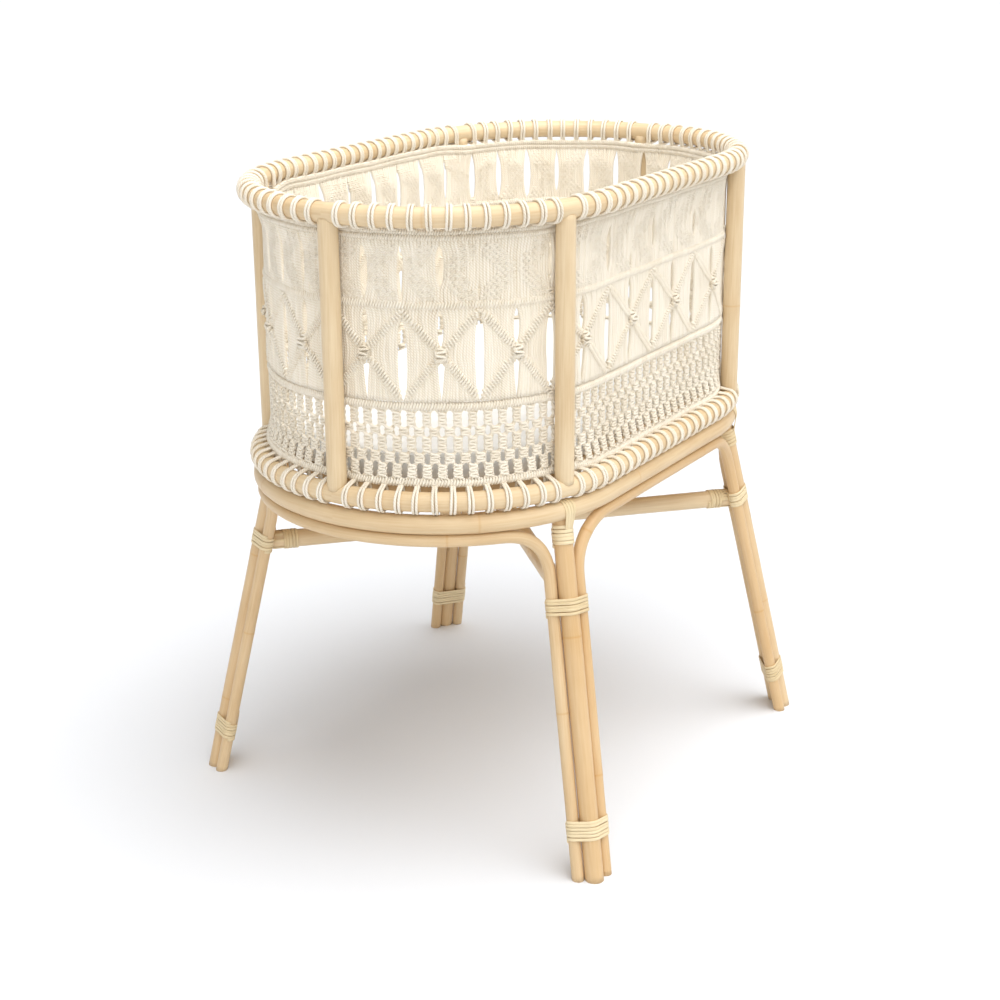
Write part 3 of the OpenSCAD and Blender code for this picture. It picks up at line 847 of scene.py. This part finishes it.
def zigzags(skin, a0, width, h0, m):
    """Two zigzag bands of small knots above the cross, clear of the slits."""
    groups = int(round(width / KNOT_PITCH)) + 1
    for half in (0, 1):
        h = h0 + half
        for row in range(17):
            z = 847.8 - row * 4.15
            band = abs(2 * (z - 779) / 70 - 1)        # 1 at top and bottom, 0 halfway
            centre = 0.80 - 0.62 * band if h % 9 in (4, 7) else 0.20 + 0.62 * band
            for g in range(groups + 1):
                c = (g + (0.0 if row % 2 else 0.5)) / groups
                if c < 0.04 or c > 0.97 or abs(c - centre) > 0.25 + 0.08 * chance(g, row, h):
                    continue
                e0, e1 = (float(edge_slit(e, np.array([z]))[0]) * width / END_MOTIF for e in (h, h + 1))
                x = min(max(e0 + (width / 2 - e0 - e1) * c, e0 + 4.4), width / 2 - e1 - 4.4)
                x += half * width / 2 + 0.5 * (chance(g, row, h, m) - 0.5)
                for path in sinnet(a0 + x, z + 2.1, 3.1, 2, 2.1, 1.9, 5):
                    skin.tubes(to_world(path[None]), 1.2, sides=5)


# The lower net's square knots, row by row: top, foot, which cords it gathers, half knots, half width.
# A knots gather a unit's own four cords, and B knots two from each of two neighbouring units.
KNOT_ROWS = ((636.5, 616.5, "A", 5, 4.1), (615.5, 604.5, "B", 3, 5.2), (603.5, 583.0, "A", 5, 4.6),
             (582.0, 568.5, "B", 4, 5.5), (567.5, 550.0, "A", 5, 4.8))
# Where the lower net's cords are gathered, from its top down
GATHERS = [(639.0, "even"), (633.5, "A"), (617.5, "A"), (613.0, "B"), (606.5, "B"), (602.0, "A"),
           (583.5, "A"), (579.0, "B"), (569.5, "B"), (565.5, "A"), (552.5, "A"), (547.5, "even")]


def lower_net(skin, a0, width, m):
    """The net of alternating square knots below the low ridge."""
    units = int(round(width / KNOT_PITCH))
    pitch = width / units
    heights = np.array([z for z, kind in GATHERS])
    zs = np.concatenate([np.linspace(a, b, 4)[:-1] for a, b in zip(heights, heights[1:])]
                        + [heights[-1:]])
    paths = []
    for k in range(units):
        for j in range(4):
            late = 1 if j >= 2 else 0
            x = {"even": (k + (j + 0.5) / 4) * pitch, "A": (k + 0.5) * pitch + (j - 1.5) * 2.1,
                 "B": (k + late) * pitch + ((j + 2) % 4 - 1.5) * 2.1}
            depth = 0.4 if j % 2 else -0.4
            xs = [x[kind] for z, kind in GATHERS]
            ds = [0.0 if kind == "even" else depth for z, kind in GATHERS]
            paths.append(np.stack([a0 + np.interp(zs, heights[::-1], xs[::-1]), zs,
                                   np.interp(zs, heights[::-1], ds[::-1])], 1))
    skin.tubes(to_world(paths), 1.6, sides=6)
    for k in range(units):
        for top, low, kind, n, half in KNOT_ROWS:
            c = (k + (0.5 if kind == "A" else 0)) * pitch + 0.8 * (chance(k, m, top) - 0.5)
            for path in sinnet(a0 + c, top, half, n, (top - low) / n, 1.9, 10):
                skin.tubes(to_world(path[None]), 1.7, sides=6)


def net_motif(upper, lower, a0, width, h0, m):
    """Adds one motif of the net: everything between two neighbouring long slits."""
    standing_cords(upper, a0, width, h0, m)
    for zr, rz, rd, skin in ((865.4, 3.2, 2.6, upper), (858.6, 3.3, 2.9, upper),
                             (MID_RIDGE, 4.7, 3.4, upper), (LOW_RIDGE, 4.9, 3.4, lower),
                             (HEM, 4.7, 3.3, lower)):
        ridge(skin, a0, width, m, zr, rz, rd)
    cross(upper, a0, width, h0)
    cross_knot(upper, a0, width, m)
    zigzags(upper, a0, width, h0, m)
    lower_net(lower, a0, width, m)


SECTIONS = (("net_end_1", 3), ("net_side_1", 4), ("net_end_3", 3), ("net_end_4", 3),
            ("net_side_2", 4), ("net_end_2", 3))      # from post to post: the motifs in each
BAYS = list(zip(POSTS, POSTS[1:] + [AROUND]))
motif = 0
for (name, count), (start_a, end_a) in zip(SECTIONS, BAYS):
    width = (end_a - start_a) / count
    upper, lower = Skin(), Skin()
    for k in range(count):
        net_motif(upper, lower, start_a - NET_SHIFT + k * width, width, 2 * motif, motif)
        motif += 1
    give(upper.build(name + "_crosses", CORD), "basket", "cord", name)
    give(lower.build(name + "_knots", CORD), "basket", "cord")


# ---------------------------------------------------------------- cord loops round the rings
def belt(ring_z, r, net_z, net_d):
    """A loop round a ring and through the net's edge, as d and z."""
    p = np.array([net_d, net_z])
    v = p - np.array([0.0, ring_z])
    base = math.atan2(v[1], v[0])
    open_ang = math.acos(min(r / np.linalg.norm(v), 1.0))
    g = np.linspace(base + open_ang, base + 2 * math.pi - open_ang, 30)
    pts = np.stack([r * np.cos(g), ring_z + r * np.sin(g)], 1)
    first, last = pts[0], pts[-1]
    lead = [p + (first - p) * q for q in (0.0, 0.35, 0.7)]
    tail = [last + (p - last) * q for q in (0.3, 0.65)]
    return np.concatenate([lead, pts, tail])


def ring_loops(name, ring_z, net_z, replaced, knot_rise):
    """Pairs of cord turns round a ring, each pair gathered by a knot at the net's edge."""
    skin = Skin()
    for i, (start_a, end_a) in enumerate(BAYS):
        lo, hi = start_a + 19.0, end_a - 19.0         # clear of the posts
        n = int(round((hi - lo) / 22.4)) + 1
        for k in range(n):
            c = lo + (hi - lo) * k / (n - 1)
            c += 1.6 * (chance(i, k, ring_z) - 0.5)
            prof = belt(ring_z, POLE_R + 1.85, float(pull(c, net_z)),
                        NET_D + 0.8 + float(bow(c, net_z)))
            rise = prof[:, 1] - ring_z
            near = np.clip((np.abs(rise) - 8) / 14, 0, 1) * (np.sign(net_z - ring_z) == np.sign(rise))
            for side in (-1, 1):
                spread = 2.15 + 0.35 * chance(k, i, side + 2)
                lean = 1.2 * (chance(i, k, 7) - 0.5)
                a = c + side * (spread * (1 - near) + 1.5 * near) + lean * rise / 13
                pts = place(a, prof[:, 1], prof[:, 0])
                skin.tubes(pts[None], 1.82, sides=9, closed=True, lobes=0.13, twist=0.5)
            for path in sinnet(c, net_z + knot_rise, 2.9, 1, 3.6, 2.6):
                skin.tubes(to_world(path[None], NET_D + 0.5), 1.3, sides=6)
    return give(skin.build(name, CORD), "basket", "cord", replaced)


ring_loops("rim_loops", RIM_Z, 868.5, "rim_cord_wraps", 2.2)
ring_loops("lower_loops", RING_Z, 540.5, "lower_cord_wraps", 3.4)

# the net's ties beside each post, at the level of its ridges
ties = Skin()
for p in POSTS:
    a = p - NET_SHIFT + 0.5
    for zt in (785.0, 655.0):
        for path in sinnet(a, zt, 4.2, 4, 3.6, 3.0):
            ties.tubes(to_world(path[None]), 1.5, sides=7)
        for k in (-1, 1):
            z = zt - 7 + k * 2
            line = spline([place(a, z, NET_D), place(a + 3, z + 1.5, NET_D + 1.5),
                           place(p - 5, z + 2, -POLE_R - 1.2), place(p + 3, z + 1, -POLE_R - 1.4)], 1.5)
            ties.tubes(line[None], 1.35, sides=7)
give(ties.build("net_ties", CORD), "basket", "cord")


# ---------------------------------------------------------------- mattress
MARGIN = 8.0                                          # free space round the mattress
EDGE_R = 11.0                                         # how round its edges are
CHANNEL = 86.0                                        # from one sewn line across it to the next
AROUND_PAD = 640                                      # points round the pad


def pad_profile(r_out, z0, z1):
    """The pad's section, from the middle of its underside to the middle of its top: inset, height."""
    prof = [(r_out * (1 - q) + EDGE_R * q, z0) for q in (0.0, 0.4, 0.8)]
    for g in np.linspace(0, math.pi / 2, 7):
        prof.append((EDGE_R * (1 - math.sin(g)), z0 + 9 * (1 - math.cos(g))))
    for q in np.linspace(0.12, 0.88, 6):
        prof.append((-1.2 * math.sin(math.pi * q) + abs(2 * q - 1) ** 3, z0 + 9 + (z1 - z0 - 22) * q))
    for g in np.linspace(0, math.pi / 2, 7):
        prof.append((EDGE_R * (1 - math.cos(g)), z1 - 13 + 11 * math.sin(g)))
    for q in np.linspace(0.02, 1.0, 76):
        crown = 4.0 * math.sin(min(q * 3, 1) * math.pi / 2)
        prof.append((EDGE_R + (r_out - EDGE_R) * q, z1 - 2.0 + crown))
    return prof


def pad_direction(s, r_out):
    """The outward angle, and the X of the centre it turns about, at distance s round the pad."""
    q = r_out * math.pi / 2
    seg = 2 * STRAIGHT
    if s < q:
        return math.pi + s / r_out, -STRAIGHT
    if s < q + seg:
        return 1.5 * math.pi, -STRAIGHT + (s - q)
    if s < 3 * q + seg:
        return 1.5 * math.pi + (s - q - seg) / r_out, STRAIGHT
    if s < 3 * q + 2 * seg:
        return 0.5 * math.pi, STRAIGHT - (s - 3 * q - seg)
    return 0.5 * math.pi + (s - 3 * q - 2 * seg) / r_out, -STRAIGHT


def loose_top(x, y, inset):
    """How the cover lies over the top: a little loose, and drawn down along its sewn lines."""
    wave = (0.8 * math.sin(x * 0.021 + 1.7 * math.sin(y * 0.017))
            + 0.55 * math.sin(y * 0.043 + 1.2 * math.sin(x * 0.011))
            + 0.3 * math.sin(x * 0.07 + y * 0.05)) * min(max(inset - 8, 0) / 60, 1)
    off = abs((x + 0.5 * CHANNEL) % CHANNEL - 0.5 * CHANNEL)
    stitch = 0.45 * math.exp(-(off / 3.0) ** 2) * math.sin(y * 0.9)
    return wave + min(max(inset - 12, 0) / 22, 1) * (2.0 - 4.2 * math.exp(-(off / 8.0) ** 2) - stitch)


def pad_mesh(r_out, z0, z1):
    prof = pad_profile(r_out, z0, z1)
    per = 2 * math.pi * r_out + 4 * STRAIGHT
    verts = []
    for inset, z in prof:
        r = max(r_out - inset, 0.0)
        for k in range(AROUND_PAD):
            s = per * k / AROUND_PAD
            ang, cx = pad_direction(s, r_out)
            pucker = 0.0
            if z0 + 2 < z < z1 + 3 and inset < 60:
                pucker = 0.5 * math.sin(s * 0.21 + 1.3 * math.sin(s * 0.047))
                pucker *= 1 - min(max(inset, 0) / 60, 1)
            x, y = cx + (r + pucker) * math.cos(ang), (r + pucker) * math.sin(ang)
            lift = loose_top(x, y, inset) if z > z1 - 4 else 0.0
            verts.append((x * MM, y * MM, (z + lift) * MM))
    faces = []
    for i in range((len(prof) - 1) * AROUND_PAD):
        b = i + 1 if (i + 1) % AROUND_PAD else i + 1 - AROUND_PAD
        faces.append((i, b, b + AROUND_PAD, i + AROUND_PAD))
    faces.append(tuple(range(AROUND_PAD))[::-1])
    me = bpy.data.meshes.new("mattress_pad")
    me.from_pydata(verts, [], faces)
    me.validate()
    me.polygons.foreach_set("use_smooth", [True] * len(me.polygons))
    bm = bmesh.new()
    bm.from_mesh(me)
    bmesh.ops.remove_doubles(bm, verts=bm.verts, dist=0.0002)
    bmesh.ops.dissolve_degenerate(bm, dist=0.0001, edges=bm.edges)
    bmesh.ops.recalc_face_normals(bm, faces=bm.faces)
    bm.to_mesh(me)
    bm.free()
    me.materials.append(COVER)
    return me


pad_lo, pad_hi = box_mm("mattress")
pad_r = half_size("mattress", 1) - MARGIN
pad = bpy.data.objects.new("mattress_pad", pad_mesh(pad_r, pad_lo[2], pad_hi[2]))
bpy.context.scene.collection.objects.link(pad)
give(pad, "mattress", "mattress_cover", "mattress")

# piping at its top and bottom edges
piping = Skin()
for z, inset in ((pad_hi[2] - 10.5, 2.6), (pad_lo[2] + 4.5, 3.0)):
    a = np.linspace(0, AROUND, 500, endpoint=False)
    d = -(END_R - (pad_r - inset)) + 0.2 * np.sin(a * 0.09)
    piping.tubes(place(a, z + 0.3 * np.sin(a * 0.05), d)[None], 2.2, sides=10, closed=True)
give(piping.build("mattress_piping", COVER), "mattress", "mattress_cover")


# ---------------------------------------------------------------- floor, light, camera
FLOOR = 400                                           # half its side, in metres
me = bpy.data.meshes.new("floor")
me.from_pydata([(-FLOOR, -FLOOR, 0), (FLOOR, -FLOOR, 0), (FLOOR, FLOOR, 0), (-FLOOR, FLOOR, 0)], [],
               [(0, 1, 2, 3)])
floor = bpy.data.objects.new("floor", me)
bpy.context.scene.collection.objects.link(floor)
floor_material, nt, bsdf = new_material("floor")
feed(nt, bsdf, {"Base Color": (0.80, 0.815, 0.84, 1), "Roughness": 0.75, "Specular IOR Level": 0.15})
me.materials.append(floor_material)

world = bpy.data.worlds.new("studio")
world.use_nodes = True
sky = world.node_tree.nodes["Background"]
feed(world.node_tree, sky, {"Color": (1.0, 1.0, 1.0, 1), "Strength": 0.49})
bpy.context.scene.world = world


def lamp(name, kind, energy):
    light = bpy.data.objects.new(name, bpy.data.lights.new(name, kind))
    light.data.energy = energy
    bpy.context.scene.collection.objects.link(light)
    return light


for name, energy, angle, toward in (("softbox", 2.55, 62, (-0.03, 0.42, -1.0)),
                                    ("front_softbox", 0.7, 50, (0.78, 0.40, -0.50))):
    sun = lamp(name, "SUN", energy)
    sun.data.angle = math.radians(angle)
    sun.rotation_euler = Vector(toward).to_track_quat("-Z", "Y").to_euler()

top = lamp("top_softbox", "AREA", 6.5)
top.data.shape = "RECTANGLE"
top.data.size, top.data.size_y = 0.9, 0.6
top.location = (0.0, 0.0, 2.1)

cam_data = bpy.data.cameras.new("camera")
cam = bpy.data.objects.new("camera", cam_data)
bpy.context.scene.collection.objects.link(cam)
yaw, pitch, roll = math.radians(31.568), math.radians(19.129), math.radians(-0.339)
look = Vector((math.cos(pitch) * math.cos(yaw), math.cos(pitch) * math.sin(yaw), -math.sin(pitch)))
right = Vector((math.sin(yaw), -math.cos(yaw), 0.0))
upv = right.cross(look)
rolled_right = right * math.cos(roll) + upv * math.sin(roll)
rolled_up = upv * math.cos(roll) - right * math.sin(roll)
rot = Matrix((rolled_right, rolled_up, -look)).transposed()
cam.matrix_world = Matrix.Translation(Vector((-2.1882, -1.3312, 1.2751))) @ rot.to_4x4()
cam_data.sensor_width = 36.0
cam_data.lens = 64.94
bpy.context.scene.camera = cam
bpy.context.scene.view_settings.view_transform = "Standard"
